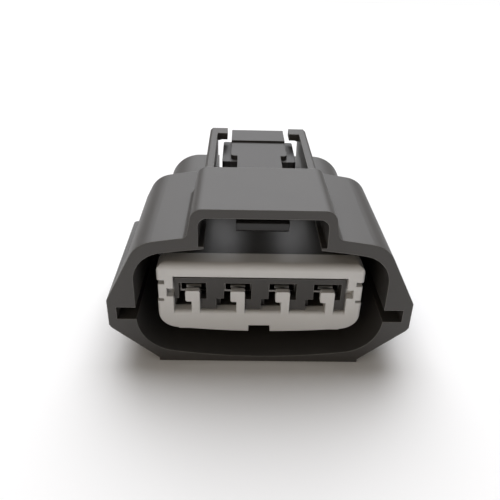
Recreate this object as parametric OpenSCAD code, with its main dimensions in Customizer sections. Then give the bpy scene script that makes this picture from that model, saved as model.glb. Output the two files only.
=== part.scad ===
// Sealed four-way automotive plug: one row of female contacts in a shrouded
// housing with a guarded latch. X runs across the contacts, Y from the mating
// face to the wires, Z up from the flat base.

/* [Contacts] */
// Distance between neighbouring contacts
pitch = 4.5; // [4.4:0.1:5.6]
// Width of the male tab that a contact takes
tab_w = 2.3; // [2:0.1:2.4]
// Thickness of the male tab
tab_t = 0.64; // [0.5:0.02:0.7]
// Height of the contact row above the base
axis_z = 7.7; // [7.6:0.05:7.9]
// Height of a contact's box
box_h = 2.4; // [2.2:0.05:2.5]
// Length of a contact's box
box_l = 7; // [6.6:0.1:7.4]
// Thickness of the contact's sheet metal
sheet_t = 0.2; // [0.15:0.01:0.25]
// Diameter of the wire's insulation
wire_d = 1.7; // [1.4:0.1:1.9]

/* [Shroud] */
// Depth of the shroud from the mating face
shroud_l = 16.1; // [15.8:0.1:18]
// Thickness of the shroud's side walls
shroud_wall = 0.85; // [0.7:0.05:1.1]
// Height of the shroud's crowned top at its middle
shroud_h = 14.84; // [14.6:0.02:15]
// Radius of the crown on the shroud's top and inside it
crown_r = 60; // [50:1:90]
// Radius of the shroud's outer top corners
shoulder_r = 2.9; // [2.6:0.1:3.1]
// Gap round the front holder for the mating part's wall
mating_gap = 1.95; // [1.8:0.05:2.2]
// Thickness of the flared rim at the mating face
rim_t = 2; // [1.5:0.1:3]
// Thickness of the wall at the back of the shroud
back_wall = 1.7; // [1.5:0.1:2]

/* [Keyways] */
// Depth of the side keyways beyond the shroud's inner side
key_d = 1.9; // [1.6:0.05:2.2]
// Height of the side keyways
key_h = 1.4; // [1.2:0.1:1.6]
// Height of the keyways' middle above the base
key_z = 5.92; // [5.8:0.02:6.1]
// Wall round the keyways
key_wall = 0.87; // [0.7:0.01:1]

/* [Latch guard] */
// Height of the guard arch
arch_h = 17.35; // [17.3:0.05:18]
// Half of the arch's width at its foot
arch_half = 7.05; // [6.95:0.05:7.4]
// Thickness of the arch
arch_wall = 0.9; // [0.8:0.05:1]
// Depth of the arch from the mating face
arch_l = 10.2; // [9:0.1:11]
// Half of the distance between the rails behind the arch
rail_half = 4.95; // [4.8:0.05:5.05]
// Thickness of the rails
rail_t = 0.95; // [0.8:0.05:1.1]
// End of the rails behind the mating face
rail_end = 23.6; // [23:0.1:25]
// Length of the inward lips at the rails' ends
lip_l = 2; // [1.5:0.1:2.5]
// Reach of those lips from the rails
lip_w = 1.2; // [0.9:0.1:1.2]

/* [Latch lever] */
// Half of the width of the lever's arm
arm_half = 2.5; // [2.2:0.1:2.8]
// Thickness of the lever's arm
arm_t = 1.1; // [0.9:0.05:1.2]
// Place of the lever's nose behind the mating face
nose_y = 1.6; // [1.2:0.1:2]
// Half of the width of the thumb pad
pad_half = 3.25; // [2.9:0.05:3.4]
// End of the thumb pad behind the mating face
pad_end = 26.15; // [25:0.05:27]
// Angle that the lever tilts through to let go
lift = 4; // [3:0.1:4.5]

/* [Front holder] */
// Recess of the holder's face behind the mating face
holder_y = 1.5; // [1.3:0.05:1.8]
// Length of the holder
holder_l = 2.3; // [2:0.1:2.8]
// Thickness of the holder's front plate
plate_t = 1.2; // [1:0.05:1.3]
// Side wall between the holder's window and its outer face
holder_side = 1.6; // [1.5:0.05:1.8]

/* [Wire end] */
// Overall length of the housing
body_l = 27.5; // [27:0.1:30]
// Half of the width of the wire end
rear_half = 11.5; // [11:0.1:12]
// Diameter of the bores for the wire seals
seal_bore = 3.8; // [3.6:0.05:3.85]

/* [Hidden] */
$fn = 64;
ways = 4;
slip = 0.06;       // clearance between parts that slide past each other
cut = 1;           // how far a cutting tool runs past a face

// Contact row
row_half = (ways - 1) * pitch / 2;
box_w = tab_w + 3 * sheet_t;
box_top = axis_z + box_h / 2;
box_foot = axis_z - box_h / 2;
mouth_w = tab_w + 0.46;
mouth_top = box_top - 0.58;               // the tab slides in just under it
tab_foot = mouth_top - tab_t;

// Core that carries the contacts
nose_margin = 1.9;                        // outer contact to the end of the core's face
nose_half = row_half + nose_margin;
face_y = holder_y + 0.4;                  // core's face
nose_top = box_top + 0.39;
nose_foot = box_foot - 1.35;
nose_gap = 0.38;                          // between the core's nose and the window's top
core_y = holder_y + plate_t + 0.15;       // full section of the core starts here
core_half = nose_half + 0.65;
core_top = nose_top + 0.6;
core_foot = nose_foot - 1.2;
core_r = 2;
deck_y = holder_y + holder_l + 0.1;       // deck behind the holder starts here
stop_y = face_y + 1.3;                    // contacts stop here

// Locking of the contacts
lock_y = stop_y + 0.57 * box_l;           // window in a contact's floor
lock_l = 1.6;
lock_half = 0.75;
lance_y = stop_y + 1.18 * box_l;          // root of the housing's lances
lance_t = 0.5;
finger_x = [-0.12, 0.72];                 // sides of the holder's fingers
room_x = [-2.15, finger_x[1] + slip];     // opening for them in the core's face
finger_end = stop_y + 0.94 * box_l;
finger_top = box_foot - 0.76;

// Perimeter seal, in its groove between the deck and the back wall
seal_t = 0.8;
seal_lip = 0.5;
seal_l = 2.5;

// Front holder
holder_half = nose_half + holder_side;
holder_top = core_top + 0.8;
holder_foot = core_foot - 1.2;
holder_r = 2;
holder_crown = 85;
post_l = 0.65;                            // thickness of the posts in the window

// Shroud
inner_half = holder_half + mating_gap;
inner_top = shroud_h - 1.31;
inner_foot = 0.67;
outer_half = inner_half + shroud_wall;
back_y = shroud_l - back_wall;            // front of the shroud's back wall
seal_y = back_y - seal_l - 0.2;           // front of the perimeter seal
deck_end = seal_y - 0.1;
foot_half = 10.2;                         // flat that the plug rests on
foot_step = 0.3;
key_reach = inner_half + key_d;
rib_half = key_reach + key_wall;
rib_foot = key_z - key_h / 2 - key_wall + 0.1;
rib_top = key_z + key_h / 2 + key_wall - 0.1;
rib_end = shroud_l + 0.9;

// Latch guard
arch_r = 1.15;
arch_draft = 11;                          // lean of the arch's sides
arch_foot_r = 0.5;
arch_fillet = 0.6;
arch_in = arch_half - arch_wall - 0.2;
arch_roof = arch_h - arch_wall;
lip_half = arch_in - 0.5;
rail_top = arch_h - 0.15;
rail_root = 0.6;                          // the rails run this far into the arch
channel_z = 10.4;                         // floor between the rails
shoulder_z = 12.2;                        // top of the wire end beside them

// Latch lever
pivot_y = back_y + back_wall / 2;
pivot_z = core_top + 3.4;
pivot_r = 0.55;
saddle_z = pivot_z - 0.35;
lever_top = arch_roof - 0.45;
lever_foot = lever_top - arm_t;
wing_half = rail_half - 0.7;
wing_y = shroud_l + 0.5;
wing_t = 1.1;
wing_top = lever_top - 0.5;
broad_y = shroud_l + 1.1;                 // the arm is as broad as the pad from here
pad_y = rail_end - lip_l + 0.2;
post_t = 1.5;                             // width of the two posts that the lever rocks on

// Wire end
rear_r = 4;
rear_foot = 2.2;
bore_y = back_y + 1.4;                    // front of the seal bores
grip_y = bore_y + 0.3;                    // front of a contact's grip on its seal

// ---------------------------------------------------------------- helpers

// Extrudes an outline drawn in X and Z from y0 to y1
module along_y(y0, y1)
    translate([0, y1, 0]) rotate([90, 0, 0]) linear_extrude(y1 - y0) children();

// Extrudes an outline drawn in Y and Z to both sides of the middle plane
module across_x(half)
    translate([-half, 0, 0]) rotate([90, 0, 90]) linear_extrude(2 * half) children();

// A box from one corner to the opposite one
module block(low, high) translate(low) cube(high - low);

// Puts the middle of the plug's length over the origin
module placed() translate([0, -body_l / 2, 0]) children();

// Both sides of the plug
module both() {
    children();
    mirror([1, 0, 0]) children();
}

// One copy per contact
module each_way()
    for (i = [0 : ways - 1]) translate([i * pitch - row_half, 0, 0]) children();

// Upright rectangle whose foot and top corners have their own radii
module slab(half, z0, z1, r0, r1) {
    mid = (z0 + z1) / 2;
    translate([-half, z0 + r0]) square([2 * half, z1 - r1 - z0 - r0]);
    translate([r0 - half, z0]) square([2 * (half - r0), mid - z0]);
    translate([r1 - half, mid]) square([2 * (half - r1), z1 - mid]);
    for (s = [-1, 1]) {
        translate([s * (half - r0), z0 + r0]) circle(r0);
        translate([s * (half - r1), z1 - r1]) circle(r1);
    }
}

// Height below the crown's top of a corner circle that touches the crown
function crown_drop(x, r, big) = big - sqrt(pow(big - r, 2) - x * x);

// Height of a circle's middle that rests on the shroud's crown
function above_crown(x, r) = shroud_h - crown_r + sqrt(pow(crown_r + r, 2) - x * x);

// Slab with a gently crowned top
module crowned_top(x, z, r, big) {
    for (s = [-1, 1]) translate([s * x, z - crown_drop(x, r, big)]) circle(r);
    touch = x * big / (big - r);
    low = z - crown_drop(x, r, big);
    intersection() {
        translate([0, z - big]) circle(big, $fn = 256);
        translate([-touch, low]) square([2 * touch, z - low + cut]);
    }
}

// Outline of circles [x, z, r] wrapped by a tight belt, listed anticlockwise
function belt_points(c) = [
    for (i = [0 : len(c) - 1])
        let (a = c[i], b = c[(i + 1) % len(c)],
             d = [b[0] - a[0], b[1] - a[1]],
             n = atan2(d[1], d[0]) - 90 + asin((a[2] - b[2]) / norm(d)))
        each [[a[0] + a[2] * cos(n), a[1] + a[2] * sin(n)],
              [b[0] + b[2] * cos(n), b[1] + b[2] * sin(n)]]];
module belt(c) {
    polygon(belt_points(c));
    for (k = c) translate([k[0], k[1]]) circle(k[2]);
}

// ---------------------------------------------------------------- outlines

// Flared rim: foot, chamfered sides, flat at the keyways, sloped shoulders
module rim_outline() {
    x = outer_half - 0.35 - shoulder_r;
    z = shroud_h - crown_drop(x, shoulder_r, crown_r);
    side = 0.9;
    right = [[foot_half - 0.3, foot_step + 0.6, 0.6],
             [rib_half - side, rib_foot + 0.3, side],
             [rib_half - side, rib_top - 0.2, side],
             [x, z, shoulder_r]];
    left = [for (i = [len(right) - 1 : -1 : 0]) [-right[i][0], right[i][1], right[i][2]]];
    belt(concat(right, left));
    crowned_top(x, shroud_h, shoulder_r, crown_r);
    translate([-foot_half, 0]) square([2 * foot_half, 1]);
}

// Shroud behind the rim
module shroud_outline() intersection() {
    rim_outline();
    translate([-outer_half, 0]) square([2 * outer_half, shroud_h]);
}

// Inside of the shroud
module inner_outline() {
    r1 = 3.1;
    r0 = 4;
    x1 = inner_half - r1;
    x0 = inner_half - r0;
    z1 = inner_top - crown_drop(x1, r1, crown_r);
    z0 = inner_foot + crown_drop(x0, r0, crown_r);
    crowned_top(x1, inner_top, r1, crown_r);
    translate([0, 2 * z0]) mirror([0, 1])
        crowned_top(x0, 2 * z0 - inner_foot, r0, crown_r);
    translate([-inner_half, z0]) square([2 * inner_half, z1 - z0]);
    translate([-x0, z0 - 2]) square([2 * x0, z1 - z0 + 4]);
}

// Arch over the latch: leaning sides, and fillets where they meet the shroud's top
module arch_outline() {
    foot = [arch_half + 0.1 - arch_foot_r, shroud_h - 1];
    top_z = arch_h - arch_r;
    top_x = foot[0] + (arch_foot_r - arch_r - (top_z - foot[1]) * sin(arch_draft)) / cos(arch_draft);
    belt([[foot[0], foot[1], arch_foot_r], [top_x, top_z, arch_r],
          [-top_x, top_z, arch_r], [-foot[0], foot[1], arch_foot_r]]);
    z = above_crown(arch_half + arch_fillet, arch_fillet);
    x = foot[0] + (arch_foot_r + arch_fillet - (z - foot[1]) * sin(arch_draft)) / cos(arch_draft);
    for (m = [0, 1]) mirror([m, 0]) difference() {
        polygon([[x - arch_fillet * cos(arch_draft), z - arch_fillet * sin(arch_draft)],
                 [arch_half - 0.5, foot[1]], [x, z - 1.5 * arch_fillet], [x, z - arch_fillet]]);
        translate([x, z]) circle(arch_fillet);
    }
}

// Core of the housing, under the holder's skirt and the perimeter seal
module core_outline() slab(core_half, core_foot, core_top, core_r, core_r);

// Wire end
module rear_outline() slab(rear_half, rear_foot, shoulder_z, rear_r, rear_r);

// ---------------------------------------------------------------- housing

module side_ribs() both() linear_extrude(rib_top - rib_foot) {
    r = 0.5;
    translate([outer_half - shroud_wall, 0]) square([rib_half - outer_half + shroud_wall, rib_end - r]);
    translate([outer_half - shroud_wall, 0]) square([rib_half - outer_half + shroud_wall - r, rib_end]);
    translate([rib_half - r, rib_end - r]) circle(r);
}

// A rail and the lip at its end that keeps the lever from being pulled up
module rail() {
    chamfer = 0.3;
    fillet = 0.6;
    along_y(arch_l - rail_root, rail_end) polygon([
        [rail_half, shoulder_z - 1], [rail_half + rail_t, shoulder_z - 1],
        [rail_half + rail_t, rail_top - chamfer], [rail_half + rail_t - chamfer, rail_top],
        [rail_half, rail_top]]);
    along_y(rail_end - lip_l, rail_end) {
        lip_z = arch_roof - 0.05;
        translate([rail_half - lip_w, lip_z]) square([lip_w + 0.1, rail_top - lip_z]);
        difference() {
            translate([rail_half - fillet, lip_z - fillet]) square([fillet + 0.1, fillet + 0.1]);
            translate([rail_half - fillet, lip_z - fillet]) circle(fillet);
        }
    }
}

// Room for a contact, from the tab's mouth to the seal bore
module contact_room() {
    room = box_w / 2 + slip;
    block([-room, stop_y, box_foot - slip], [room, bore_y + cut, box_top + slip]);
    block([-mouth_w / 2, face_y - cut, box_foot - slip], [mouth_w / 2, stop_y + cut, mouth_top]);
    translate([0, bore_y, axis_z]) rotate([-90, 0, 0]) {
        cylinder(d = seal_bore, h = body_l - bore_y + cut);
        translate([0, 0, body_l - bore_y - 0.4]) cylinder(d1 = seal_bore, d2 = seal_bore + 0.35, h = 0.401);
    }
}

// Room below a contact for the lance that holds it and the holder's finger
module lance_room() {
    block([room_x[0], face_y - cut, nose_foot - cut], [room_x[1], core_y, box_foot]);
    block([-1.75, core_y - 0.1, nose_foot - slip], [1.2, lance_y, box_foot]);
}
module lance() across_x(lock_half - 0.1) polygon([
    [lance_y + 0.3, box_foot - 0.2 - lance_t], [lance_y + 0.3, box_foot - 0.2],
    [lock_y + 1.2, box_foot - 0.2], [lock_y + 1.2, box_foot + 0.1],
    [lock_y + 0.2, box_foot - 0.2], [lock_y, box_foot - 0.2 - lance_t]]);

// Seat on the back wall that the lever rocks on
module saddle() difference() {
    block([-rail_half - 0.5, back_y, core_top], [rail_half + 0.5, shroud_l, saddle_z]);
    translate([-rail_half, pivot_y, pivot_z]) rotate([0, 90, 0])
        cylinder(r = pivot_r + slip, h = 2 * rail_half);
}

module outer_housing() color([0.36, 0.34, 0.32]) difference() {
    union() {
        difference() {
            union() {
                along_y(0, rim_t) rim_outline();
                along_y(rim_t, shroud_l) shroud_outline();
                translate([0, 0, rib_foot]) side_ribs();
                along_y(0, arch_l) arch_outline();
                along_y(shroud_l - 0.5, body_l) rear_outline();
                both() rail();
            }
            // mating gap, keyways, arch and the channel behind it
            along_y(-cut, back_y) inner_outline();
            both() block([inner_half - 0.5, -cut, key_z - key_h / 2],
                         [key_reach, back_y, key_z + key_h / 2]);
            along_y(-cut, arch_l - rail_root) slab(arch_in, inner_top, arch_roof, 0.01, 0.9);
            block([-lip_half, -cut, core_top], [lip_half, arch_l - rail_root, arch_h - 2]);
            block([-rail_half, arch_l - rail_root - 0.1, core_top], [rail_half, arch_l, arch_roof]);
            block([-rail_half, arch_l - 0.1, core_top], [rail_half, shroud_l, arch_h]);
            block([-rail_half, shroud_l - 0.1, channel_z], [rail_half, body_l + cut, rail_top - 0.9]);
        }
        along_y(core_y, back_y + 0.1) core_outline();
        along_y(deck_y, deck_end) holder_outline(0.08);
        along_y(face_y, core_y + 0.1) slab(nose_half - slip, nose_foot + slip, nose_top - nose_gap, 0.2, 0.2);
        saddle();
    }
    each_way() {
        contact_room();
        difference() {
            lance_room();
            lance();
        }
    }
}

// ------------------------------------------------------------------ latch

// Side view of the lever's arm: hook, relieved back, thumb pad and web
module arm_outline(rear) {
    slope = tan(lift);
    nose_top = lever_top - (arch_l - nose_y) * slope;
    hook_foot = nose_top - 1.5;
    if (rear)
        polygon([[broad_y, lever_foot], [pad_y, lever_foot], [pad_end - 1.2, lever_foot - 0.5],
                 [pad_end - 0.4, lever_foot - 0.5], [pad_end, lever_foot - 0.1],
                 [pad_end, lever_top - 0.1], [pad_end - 0.35, lever_top + 0.25],
                 [pad_y, lever_top + 0.25], [pad_y, lever_top], [broad_y, lever_top]]);
    else
        polygon([[nose_y, nose_top - 0.9], [nose_y + 0.9, hook_foot], [nose_y + 2.1, hook_foot],
                 [nose_y + 2.1, nose_top - 0.85], [arch_l, lever_foot], [broad_y + 0.5, lever_foot],
                 [broad_y + 0.5, lever_top], [arch_l, lever_top], [nose_y + 0.25, nose_top],
                 [nose_y, nose_top - 0.2]]);
}

// Plan of a plate with rounded corners
module plan(half, y0, y1, r) {
    translate([-half, y0 + r]) square([2 * half, y1 - y0 - 2 * r]);
    translate([r - half, y0]) square([2 * (half - r), y1 - y0]);
    for (x = [r - half, half - r], y = [y0 + r, y1 - r]) translate([x, y]) circle(r);
}

module latch_lever() color([0.36, 0.34, 0.32]) {
    across_x(arm_half) arm_outline(false);
    intersection() {
        across_x(pad_half) arm_outline(true);
        linear_extrude(arch_h + 2) plan(pad_half, broad_y, pad_end, 0.5);
    }
    translate([0, 0, wing_top - wing_t]) linear_extrude(wing_t)
        plan(wing_half, wing_y, rail_end - 0.3, 0.3);
    // posts whose round feet sit in the saddle
    both() translate([arm_half - post_t, 0, 0]) {
        block([0, pivot_y - 0.35, pivot_z], [post_t, pivot_y + 0.35, lever_foot + 0.1]);
        translate([0, pivot_y, pivot_z]) rotate([0, 90, 0]) cylinder(r = pivot_r, h = post_t);
    }
}

// ----------------------------------------------------------------- holder

// Holder's outline with its crowned foot, drawn smaller by d all round
module holder_outline(d = 0) {
    half = holder_half - d;
    x = holder_half - holder_r;
    foot = holder_foot + d;
    z = foot + crown_drop(x, holder_r - d, holder_crown);
    mirror([0, 1]) crowned_top(x, -foot, holder_r - d, holder_crown);
    translate([-half, z]) square([2 * half, holder_top - 0.9 - z]);
    slab(half, z, holder_top - d, 1, 0.9);
    translate([-x, foot + 0.3]) square([2 * x, 3]);
}

// Post in front of a contact, and the finger behind it that blocks the lance
module finger() {
    head_foot = box_foot - 0.14;
    head_top = tab_foot - 0.06;
    along_y(holder_y, holder_y + post_l) {
        slab(-finger_x[0] * 6, head_foot, head_top, 0.2, 0.2);
        translate([finger_x[0], nose_foot - 0.2])
            square([finger_x[1] - finger_x[0], head_foot + 0.4 - nose_foot]);
    }
    block([finger_x[0], holder_y + 0.1, nose_foot - 0.2],
          [finger_x[1], holder_y + plate_t + 0.1, box_foot - 0.1]);
    block([finger_x[0], holder_y + 0.1, nose_foot], [finger_x[1], finger_end, finger_top]);
}

// What rounding takes off an edge of radius r at the origin, drawn towards -X and +Y
module edge_cut(r) difference() {
    translate([-cut, -r]) square([r + cut, r + cut]);
    translate([r, -r]) circle(r);
}

module front_holder() color([0.72, 0.71, 0.68]) {
    back = holder_y + holder_l + cut;
    difference() {
        along_y(holder_y, holder_y + holder_l) holder_outline();
        along_y(holder_y + plate_t, back)
            slab(core_half + slip, core_foot - slip, core_top + slip, core_r, core_r);
        along_y(holder_y - cut, holder_y + plate_t + cut)
            translate([-nose_half, nose_foot]) square([2 * nose_half, nose_top - nose_foot]);
        // rounded front edges, on top, at the sides and at the window's sill
        across_x(holder_half + cut) translate([holder_y, holder_top]) edge_cut(0.7);
        across_x(nose_half) translate([holder_y, nose_foot]) edge_cut(0.35);
        both() translate([-holder_half, holder_y, holder_foot])
            linear_extrude(holder_top - holder_foot) mirror([0, 1]) edge_cut(0.3);
        // notch in the foot, grooves beside the side latches, and slots by the window
        along_y(holder_y - cut, back) translate([-1.1, holder_foot - 0.5]) square([2.2, 1.23]);
        both() {
            block([holder_half - 0.75, holder_y - cut, nose_top - 0.9],
                  [holder_half + cut, back, nose_top - 0.45]);
            block([holder_half - 0.65, holder_y - cut, box_foot - 0.1],
                  [holder_half + cut, back, box_foot + 0.2]);
            block([holder_half - 0.12, holder_y - cut, box_foot], [holder_half + cut, back, nose_top - 0.6]);
            block([nose_half - 0.1, holder_y - cut, nose_top - 2.33],
                  [nose_half + 0.65, holder_y + 0.9, nose_top - 1.39]);
        }
    }
    each_way() finger();
}

// ------------------------------------------------------------------ seals

// Section of the perimeter seal: a band with two round lips
module seal_section() intersection() {
    union() {
        square([seal_t, seal_l]);
        for (k = [seal_lip + 0.1, seal_l - seal_lip - 0.1])
            translate([seal_t, k]) circle(seal_lip);
    }
    square([2 * seal_t, seal_l]);
}

// Ring round the core: four corners, two sides, and the runs above and below
module perimeter_seal() color([0.30, 0.31, 0.32]) {
    x = core_half - core_r;
    z0 = core_foot + core_r;
    z1 = core_top - core_r;
    hug = core_r + 0.02;
    translate([0, seal_y, 0]) {
        for (s = [-1, 1], z = [z0, z1]) translate([s * x, 0, z])
            rotate([-90, 0, 0]) rotate([0, 0, s > 0 ? (z == z0 ? 0 : -90) : (z == z0 ? 90 : 180)])
                rotate_extrude(angle = 90) translate([hug, 0]) seal_section();
        both() translate([x + hug, 0, z0]) linear_extrude(z1 - z0) seal_section();
        for (m = [0, 1]) translate([-x, 0, (z0 + z1) / 2]) mirror([0, 0, m])
            translate([0, 0, (z1 - z0) / 2 + hug]) rotate([90, 0, 90]) linear_extrude(2 * x)
                rotate(90) mirror([0, 1]) seal_section();
    }
}

// Ribbed seal that grips a wire in its bore
seal_mouth = 1.2;
rib_r = 0.5;
module wire_seal(i) color([0.45, 0.55, 0.62]) translate([i * pitch - row_half, 0, axis_z])
    rotate([-90, 0, 0]) rotate_extrude() {
        neck = 1.15;
        rib = seal_bore / 2 - 0.03;
        front = grip_y + 0.15;
        shoulder = grip_y + 2.1;
        back = body_l - seal_mouth;
        difference() {
            union() {
                translate([0, front]) square([neck, 3]);
                translate([0, shoulder]) square([rib - 0.4, back - shoulder]);
                for (k = [0 : 3]) translate([rib - rib_r, shoulder + 0.8 + k * (back - shoulder - 1.6) / 3])
                    circle(rib_r);
            }
            translate([-1, front - cut]) square([1 + wire_d / 2, body_l]);
        }
    }

// -------------------------------------------------------------- terminals

// Female terminal: box with a spring, neck, wire barrel and seal barrel
neck_l = 1.6;
module terminal(i) color([0.78, 0.77, 0.74]) translate([i * pitch - row_half, 0, 0]) {
    y0 = stop_y + 0.05;
    y1 = y0 + box_l;
    wire_y = y1 + neck_l;
    wire_r = 0.9;
    grip_r = 1.15 + sheet_t + 0.02;
    in_z = [box_foot + sheet_t, box_top - sheet_t];
    half = box_w / 2;
    difference() {
        block([-half, y0, box_foot], [half, y1, box_top]);
        block([sheet_t - half, y0 - cut, in_z[0]], [half - sheet_t, y1 + cut, in_z[1]]);
        block([-lock_half, lock_y, box_foot - cut], [lock_half, lock_y + lock_l, in_z[0] + 0.01]);
        block([-0.5, y1 - 1.4, in_z[1] - 0.1], [0.5, y1 + cut, box_top + cut]);
    }
    // spring rolled back from the front of the floor, and the rib in the roof that it faces
    roll = 0.3;
    across_x(0.75) {
        translate([y0 + roll + 0.05, in_z[0] + roll - 0.02]) circle(roll);
        polygon([[y0 + roll, in_z[0] + 2 * roll - 0.22], [y0 + 2.6, tab_foot - 0.05],
                 [y0 + 3.4, tab_foot - 0.25], [y0 + 3.4, tab_foot - 0.45], [y0 + 2.6, tab_foot - 0.25],
                 [y0 + roll, in_z[0] + 2 * roll - 0.42]]);
    }
    block([-0.4, y0 + 1.2, mouth_top + 0.02], [0.4, y0 + 4.4, in_z[1] + 0.05]);
    // neck
    block([-0.7, y1 - 0.5, box_foot], [0.7, grip_y + 0.1, box_foot + sheet_t]);
    both() block([0.5, y1 - 0.5, box_foot], [0.7, wire_y + 0.2, box_foot + 1.2]);
    // barrels that are rolled round the conductor and round the seal's neck
    barrel(wire_y, 2.2, wire_r);
    barrel(grip_y, 1.8, grip_r);
}

module barrel(y, l, r) translate([0, y, axis_z]) rotate([-90, 0, 0]) difference() {
    union() {
        cylinder(r = r, h = l);
        translate([-0.7, 0, 0]) cube([1.4, axis_z - box_foot, l]);
    }
    translate([0, 0, -cut]) cylinder(r = r - sheet_t, h = l + 2 * cut);
    translate([-0.15, -r - cut, -cut]) cube([0.3, r + cut, l + 2 * cut]);
}

placed() outer_housing();
placed() latch_lever();
placed() front_holder();
placed() perimeter_seal();
placed() terminal(0);  // terminal_1
placed() terminal(1);  // terminal_2
placed() terminal(2);  // terminal_3
placed() terminal(3);  // terminal_4
placed() wire_seal(0);  // wire_seal_1
placed() wire_seal(1);  // wire_seal_2
placed() wire_seal(2);  // wire_seal_3
placed() wire_seal(3);  // wire_seal_4
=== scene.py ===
# %% [markdown]
# # A sealed four-way plug
# A sealed automotive plug is a grey moulded housing with a latch lever on its back, a pale holder
# in its mouth that locks the contacts, silicone seals, and four tin-plated contacts. The packed
# model already holds each of them as a closed solid at its true size, and the plug has no soft
# goods, cords or bare wires, so nothing is modelled anew here. This lesson gives each piece the
# finish of its real material, then lights it and points a camera at it.

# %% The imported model
from math import radians

import bpy
from mathutils import Matrix, Vector

MM = 0.001  # the scene is in metres, and sizes are easier to read in millimetres
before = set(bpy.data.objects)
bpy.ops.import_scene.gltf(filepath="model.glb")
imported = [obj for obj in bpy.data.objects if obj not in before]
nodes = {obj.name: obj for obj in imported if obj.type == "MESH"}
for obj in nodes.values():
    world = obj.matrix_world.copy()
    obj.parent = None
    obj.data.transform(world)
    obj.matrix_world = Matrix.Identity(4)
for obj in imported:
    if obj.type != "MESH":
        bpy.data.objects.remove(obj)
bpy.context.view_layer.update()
print("pieces:", ", ".join(sorted(nodes)))

# %% [markdown]
# ## Camera
# The camera looks into the mouth from in front and from above. It stands close, about 70 mm from
# the plug's middle, so the wire end looks much smaller than the mouth. Three rotations aim it:
# one rolls it about its own line of sight, one tips it down, and one turns it about the upright
# axis. Depth of field stays off, so that everything is sharp from any side.

# %% Camera
CAMERA_AT = Vector((-2.28, -59.06, 39.33)) * MM
CAMERA_DOWN = radians(29.89)
CAMERA_TURN = radians(1.396)
CAMERA_ROLL = radians(1.512)
SENSOR = 36           # mm across
LENS = 40.87          # mm
NEAREST = 1 * MM      # nothing nearer than this is drawn


def add_camera():
    """Adds the camera and aims it: rolled, then tipped down, then turned."""
    data = bpy.data.cameras.new("camera")
    data.sensor_width = SENSOR
    data.lens = LENS
    data.clip_start = NEAREST
    camera = bpy.data.objects.new("camera", data)
    roll = Matrix.Rotation(CAMERA_ROLL, 3, "Z")
    tip = Matrix.Rotation(radians(90) - CAMERA_DOWN, 3, "X")
    turn = Matrix.Rotation(-CAMERA_TURN, 3, "Z")
    camera.matrix_world = Matrix.Translation(CAMERA_AT) @ (turn @ tip @ roll).to_4x4()
    bpy.context.scene.collection.objects.link(camera)
    bpy.context.scene.camera = camera
    print("camera at", [round(c / MM, 2) for c in CAMERA_AT], "mm, lens", LENS, "mm")


add_camera()

# %% [markdown]
# ## Colours
# A colour picker shows sRGB codes, but light adds up in linear values, so one function turns
# every code to linear before a shader or a lamp reads it.

# %% From sRGB to linear
def linear(code):
    """Linear red, green, blue and full alpha of an sRGB hex code."""
    parts = [int(code[i:i + 2], 16) / 255 for i in (0, 2, 4)]
    return [c / 12.92 if c <= 0.04045 else ((c + 0.055) / 1.055) ** 2.4 for c in parts] + [1.0]


print("mid grey is", round(linear("808080")[0], 3), "in linear light")

# %% [markdown]
# ## The floor
# The plug lies on a plain sheet of white paper. A plane object would do, and here it is four
# corners given straight to a mesh. It is staging, not a part of the plug.

# %% Floor
FLOOR_HALF = 300 * MM  # half its side, some ten times the plug's length


def plain(name, code, roughness):
    """A new material with one colour and one roughness, and its shader."""
    material = bpy.data.materials.new(name)
    material.use_nodes = True
    shader = material.node_tree.nodes["Principled BSDF"]
    shader.inputs["Base Color"].default_value = linear(code)
    shader.inputs["Roughness"].default_value = roughness
    return material, shader


def add_floor():
    """A square sheet at height 0, of white uncoated paper: bright and quite without gloss."""
    mesh = bpy.data.meshes.new("floor")
    corners = [(x * FLOOR_HALF, y * FLOOR_HALF, 0) for x, y in ((-1, -1), (1, -1), (1, 1), (-1, 1))]
    mesh.from_pydata(corners, [], [(0, 1, 2, 3)])
    paper, _ = plain("white_paper", "f8f8f8", 0.9)
    mesh.materials.append(paper)
    floor = bpy.data.objects.new("floor", mesh)
    bpy.context.scene.collection.objects.link(floor)
    print("floor is", round(2 * FLOOR_HALF / MM), "mm square")


add_floor()

# %% [markdown]
# ## Lamps
# A softbox more than a metre wide hangs above and behind the plug. It makes the tops light and
# leaves the mouth and every front face in shade, and being so large it leaves only a soft shadow.
# A smaller warm lamp in front, on the left, opens up the mouth. The plain view transform shows
# white as white, so the floor looks like white paper.

# %% Lamps
MIDDLE = Vector((0, 0, 8)) * MM  # the middle of the plug, which both lamps face


def add_lamp(name, place, side, power, tint):
    """A square lamp that faces the plug; place and side are in mm, power in W."""
    data = bpy.data.lights.new(name, "AREA")
    data.shape = "SQUARE"
    data.size = side * MM
    data.energy = power
    data.color = linear(tint)[:3]
    lamp = bpy.data.objects.new(name, data)
    lamp.location = Vector(place) * MM
    lamp.rotation_euler = (MIDDLE - lamp.location).to_track_quat("-Z", "Y").to_euler()
    bpy.context.scene.collection.objects.link(lamp)
    print(name, "lamp:", power, "W at", place, "mm")


bpy.context.scene.view_settings.view_transform = "Standard"
add_lamp("softbox", place=(0, 600, 900), side=1200, power=18, tint="fbfcff")
add_lamp("fill", place=(-280, -450, 260), side=300, power=0.3, tint="ffe6c4")

# %% [markdown]
# ## The surround
# In a studio some light comes back from the walls on every side. A weak world background stands
# for it. Seen behind the floor's edge it would be grey, so a Light Path node shows the camera a
# white backdrop there. That changes nothing on the plug, which only the weak background lights.
# One helper adds every node from here on, with its settings, values and links.

# %% Surround
BACKDROP = 1.0      # strength of the white that the camera sees
WALL_LIGHT = 0.2    # strength of the light from the walls


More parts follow.
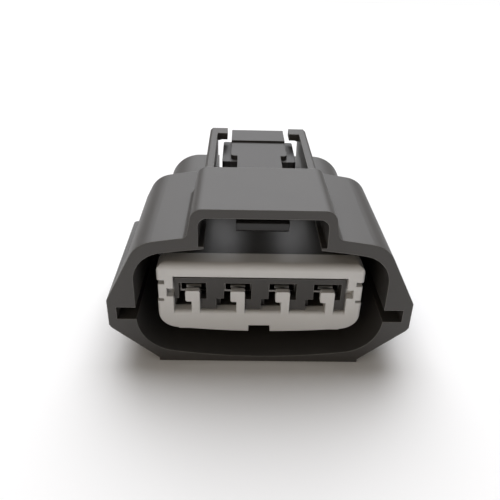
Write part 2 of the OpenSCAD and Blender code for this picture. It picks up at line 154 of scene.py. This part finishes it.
def add(tree, kind, links=None, inputs=None, **settings):
    """Adds a node, sets its options and input values, and links its inputs to given outputs."""
    node = tree.nodes.new(kind)
    for name, value in settings.items():
        setattr(node, name, value)
    for name, value in (inputs or {}).items():
        node.inputs[name].default_value = value
    for name, source in (links or {}).items():
        tree.links.new(source, node.inputs[name])
    return node


def add_surround():
    """The same weak, slightly warm light from every side, and white where the camera sees it."""
    world = bpy.data.worlds.new("surround")
    world.use_nodes = True
    tree = world.node_tree
    tree.nodes.clear()
    walls = add(tree, "ShaderNodeBackground",
                inputs={"Color": linear("fffaf4"), "Strength": WALL_LIGHT})
    white = add(tree, "ShaderNodeBackground",
                inputs={"Color": linear("ffffff"), "Strength": BACKDROP})
    path = add(tree, "ShaderNodeLightPath")
    either = add(tree, "ShaderNodeMixShader", {0: path.outputs["Is Camera Ray"],
                                               1: walls.outputs[0], 2: white.outputs[0]})
    add(tree, "ShaderNodeOutputWorld", {"Surface": either.outputs[0]})
    bpy.context.scene.world = world
    print("surround of strength", WALL_LIGHT)


add_surround()

# %% [markdown]
# ## Moulded nylon
# Housing, lever and holder are injection moulded in nylon with glass fibre in it. Three things
# show that a part was moulded: its surface has the fine grain of the spark-eroded mould, its
# colour is a little cloudy where the fibres flowed, and every edge is slightly round, because a
# cutter can't leave a perfectly sharp corner in a mould. Rounding each edge in the mesh would
# cost many faces, so a Bevel node rounds them for the light alone.

# %% Moulded nylon
NYLON_IOR = 1.53
EDGE_R = 0.14 * MM        # radius of a moulded edge
GRAIN = 0.2 * MM          # spark erosion leaves 0.05 mm, and is drawn this coarse to show
GRAIN_DEPTH = 0.02 * MM
GRAIN_SHARE = 0.12        # how much of that depth the light feels, as moulding softens it
CLOUD = 6 * MM            # the size of a cloud in the colour
NODE_SAMPLES = 6          # rays that the Bevel and Ambient Occlusion nodes send at each point


def shade(code, factor):
    """A colour's linear values times a factor."""
    return [min(c * factor, 1.0) for c in linear(code)[:3]] + [1.0]


def moulded(name, code, roughness, cloudy):
    """Nylon with round edges and a fine grain, cloudy by a share of its colour."""
    material, shader = plain(name, code, roughness)
    shader.inputs["IOR"].default_value = NYLON_IOR
    tree = material.node_tree
    place = add(tree, "ShaderNodeTexCoord").outputs["Object"]
    cloud = add(tree, "ShaderNodeTexNoise", {"Vector": place}, {"Scale": 1 / CLOUD, "Detail": 3.0})
    colour = add(tree, "ShaderNodeMix", {"Factor": cloud.outputs["Fac"]},
                 {"A": shade(code, 1 - cloudy), "B": shade(code, 1 + cloudy)}, data_type="RGBA")
    tree.links.new(colour.outputs["Result"], shader.inputs["Base Color"])

    grain = add(tree, "ShaderNodeTexNoise", {"Vector": place}, {"Scale": 1 / GRAIN, "Detail": 2.0})
    rounded = add(tree, "ShaderNodeBevel", inputs={"Radius": EDGE_R}, samples=NODE_SAMPLES)
    bump = add(tree, "ShaderNodeBump",
               {"Height": grain.outputs["Fac"], "Normal": rounded.outputs["Normal"]},
               {"Strength": GRAIN_SHARE, "Distance": GRAIN_DEPTH})
    tree.links.new(bump.outputs["Normal"], shader.inputs["Normal"])
    print("moulded", name)
    return material


# Dark warm grey and satin, as the glass fibre dulls the gloss.
GREY_NYLON = moulded("grey_nylon", "42403e", 0.5, cloudy=0.12)
LEVER_NYLON = moulded("lever_nylon", "3c3a39", 0.5, cloudy=0.10)
# The holder's resin is left almost white, so that a holder that stands open is seen at once.
PALE_NYLON = moulded("pale_nylon", "dddcda", 0.45, cloudy=0.03)

# %% [markdown]
# ## Worn edges
# Where a plug is handled, the grain on its edges wears thin, and the edges turn a little paler.
# The same pale edge also stands for the highlight that a rounded edge catches, so it is partly
# painted highlight. Edges could be picked out by hand, but a material can find them: where the
# Bevel node's rounded normal leaves the surface's own, there is an edge. An Ambient Occlusion
# node with a short reach leaves the inner corners out, because nothing rubs them. The pale holder
# sits deep in the mouth, so it stays as it came from the mould.

# %% Pale edges: wear and painted highlight
CORNER = 0.4 * MM     # an inner corner is looked for this far around
FLAT = 0.98           # cosine between the two normals where an edge starts to show
SHARP = 0.8           # and where it shows in full
SHUT_IN = 0.75        # share of open sky in an inner corner
OPEN = 0.95           # and on an outer edge


def wear_and_highlight_edges(material, share):
    """Mixes a share of pale colour into the outer edges: wear, and painted highlight."""
    tree = material.node_tree
    base = tree.nodes["Principled BSDF"].inputs["Base Color"]
    rounded = add(tree, "ShaderNodeBevel", inputs={"Radius": EDGE_R}, samples=NODE_SAMPLES)
    surface = add(tree, "ShaderNodeNewGeometry")
    alike = add(tree, "ShaderNodeVectorMath",
                {0: rounded.outputs["Normal"], 1: surface.outputs["True Normal"]},
                operation="DOT_PRODUCT")
    edge = add(tree, "ShaderNodeMapRange", {"Value": alike.outputs["Value"]},
               {"From Min": FLAT, "From Max": SHARP, "To Max": share})
    sky = add(tree, "ShaderNodeAmbientOcclusion", inputs={"Distance": CORNER},
              samples=NODE_SAMPLES, only_local=True)
    outer = add(tree, "ShaderNodeMapRange", {"Value": sky.outputs["AO"]},
                {"From Min": SHUT_IN, "From Max": OPEN})
    wear_and_highlight = add(tree, "ShaderNodeMath", {0: edge.outputs["Result"], 1: outer.outputs["Result"]},
               operation="MULTIPLY")
    # d8d6d2 is the pale colour on the edges: wear, and painted highlight
    colour = add(tree, "ShaderNodeMix",
                 {"Factor": wear_and_highlight.outputs["Value"], "A": base.links[0].from_socket},
                 {"B": linear("d8d6d2")}, data_type="RGBA")
    tree.links.new(colour.outputs["Result"], base)
    print("wore the edges of", material.name)


wear_and_highlight_edges(GREY_NYLON, 0.3)
wear_and_highlight_edges(LEVER_NYLON, 0.2)

# %% [markdown]
# ## The lever's painted shade
# The lever's nose sits under the arch and its two wings sit under the rails, in their shade.
# There the colour is darkened as painted shade, and the roughness is set lower. A mask worked out
# from the place on the piece does this, and it rides along when the lever tilts.

# %% The lever's painted shade
NOSE_END = -9.7 * MM  # the nose lies in front of this, with 0 at the middle of the plug's length
WING_FROM = 3.3 * MM  # the wings start this far to either side of the middle
FADE = 0.1 * MM       # the painted shade fades out over this


def paint_lever_shade(material, code, roughness):
    """Painted shade: a darker colour and another roughness where y < NOSE_END or |x| > WING_FROM.
    """
    tree = material.node_tree
    shader = tree.nodes["Principled BSDF"]
    base, rough = shader.inputs["Base Color"], shader.inputs["Roughness"]
    place = add(tree, "ShaderNodeTexCoord").outputs["Object"]
    axes = add(tree, "ShaderNodeSeparateXYZ", {"Vector": place})
    nose = add(tree, "ShaderNodeMapRange", {"Value": axes.outputs["Y"]},
               {"From Min": NOSE_END, "From Max": NOSE_END - FADE})
    aside = add(tree, "ShaderNodeMath", {0: axes.outputs["X"]}, operation="ABSOLUTE")
    wing = add(tree, "ShaderNodeMapRange", {"Value": aside.outputs["Value"]},
               {"From Min": WING_FROM, "From Max": WING_FROM + FADE})
    painted_shade = add(tree, "ShaderNodeMath", {0: nose.outputs["Result"], 1: wing.outputs["Result"]},
                 operation="MAXIMUM").outputs["Value"]
    colour = add(tree, "ShaderNodeMix", {"Factor": painted_shade, "A": base.links[0].from_socket},
                 {"B": linear(code)}, data_type="RGBA")
    tree.links.new(colour.outputs["Result"], base)
    smooth = add(tree, "ShaderNodeMapRange", {"Value": painted_shade},
                 {"To Min": rough.default_value, "To Max": roughness})
    tree.links.new(smooth.outputs["Result"], rough)
    print("polished the nose and wings of", material.name)


# 121010 is the painted shade on the nose and wings; 0.4 is their roughness
paint_lever_shade(LEVER_NYLON, "121010", 0.4)

# %% [markdown]
# ## Silicone rubber
# The face seal and the four wire seals are moulded silicone. It is soft and slightly oily, so it
# has no grain, and its light patches are blurred but clear. One colour and one roughness do.

# %% Silicone rubber
SILICONE_IOR = 1.41


def silicone(name, code):
    """Silicone rubber in one colour."""
    material, shader = plain(name, code, 0.5)
    shader.inputs["IOR"].default_value = SILICONE_IOR
    print("made", name)
    return material


FACE_SEAL = silicone("dark_silicone", "2c2c2c")       # dark grey, deep in the mouth
WIRE_SEAL = silicone("blue_grey_silicone", "6f8494")  # a usual colour for wire seals

# %% [markdown]
# ## Tin plate
# The contacts are stamped from copper strip and plated with tin. New tin is bright, but it soon
# dulls to a soft grey, so its glints are broad. The grey here is darker than dull tin, as painted
# shade for the contacts deep in their cavities. A metal takes its colour in Base Color, with
# Metallic at 1, and keeps the shader's own IOR.

# %% Tin plate
# 969490: dull tin, darkened further as painted shade deep in the cavities
TIN, tin_shader = plain("tin_plate", "969490", 0.34)
tin_shader.inputs["Metallic"].default_value = 1.0
print("made", TIN.name)

# %% [markdown]
# ## Dressing the plug
# Here a CAD node keeps its mesh and its place: only the material in each slot is changed. So the
# lever and the holder stay on their own bodies, and the plug stays the size it was.

# %% Dressing
FINISH = {
    "outer_housing": GREY_NYLON,
    "latch_lever": LEVER_NYLON,
    "front_holder": PALE_NYLON,
    "perimeter_seal": FACE_SEAL,
    "terminal": TIN,
    "wire_seal": WIRE_SEAL,
}
for name, piece in nodes.items():
    finish = FINISH[name.rstrip("_1234")]  # terminal_3 takes the finish of terminal
    for slot in piece.material_slots:
        slot.material = finish
    print(name, "->", finish.name)
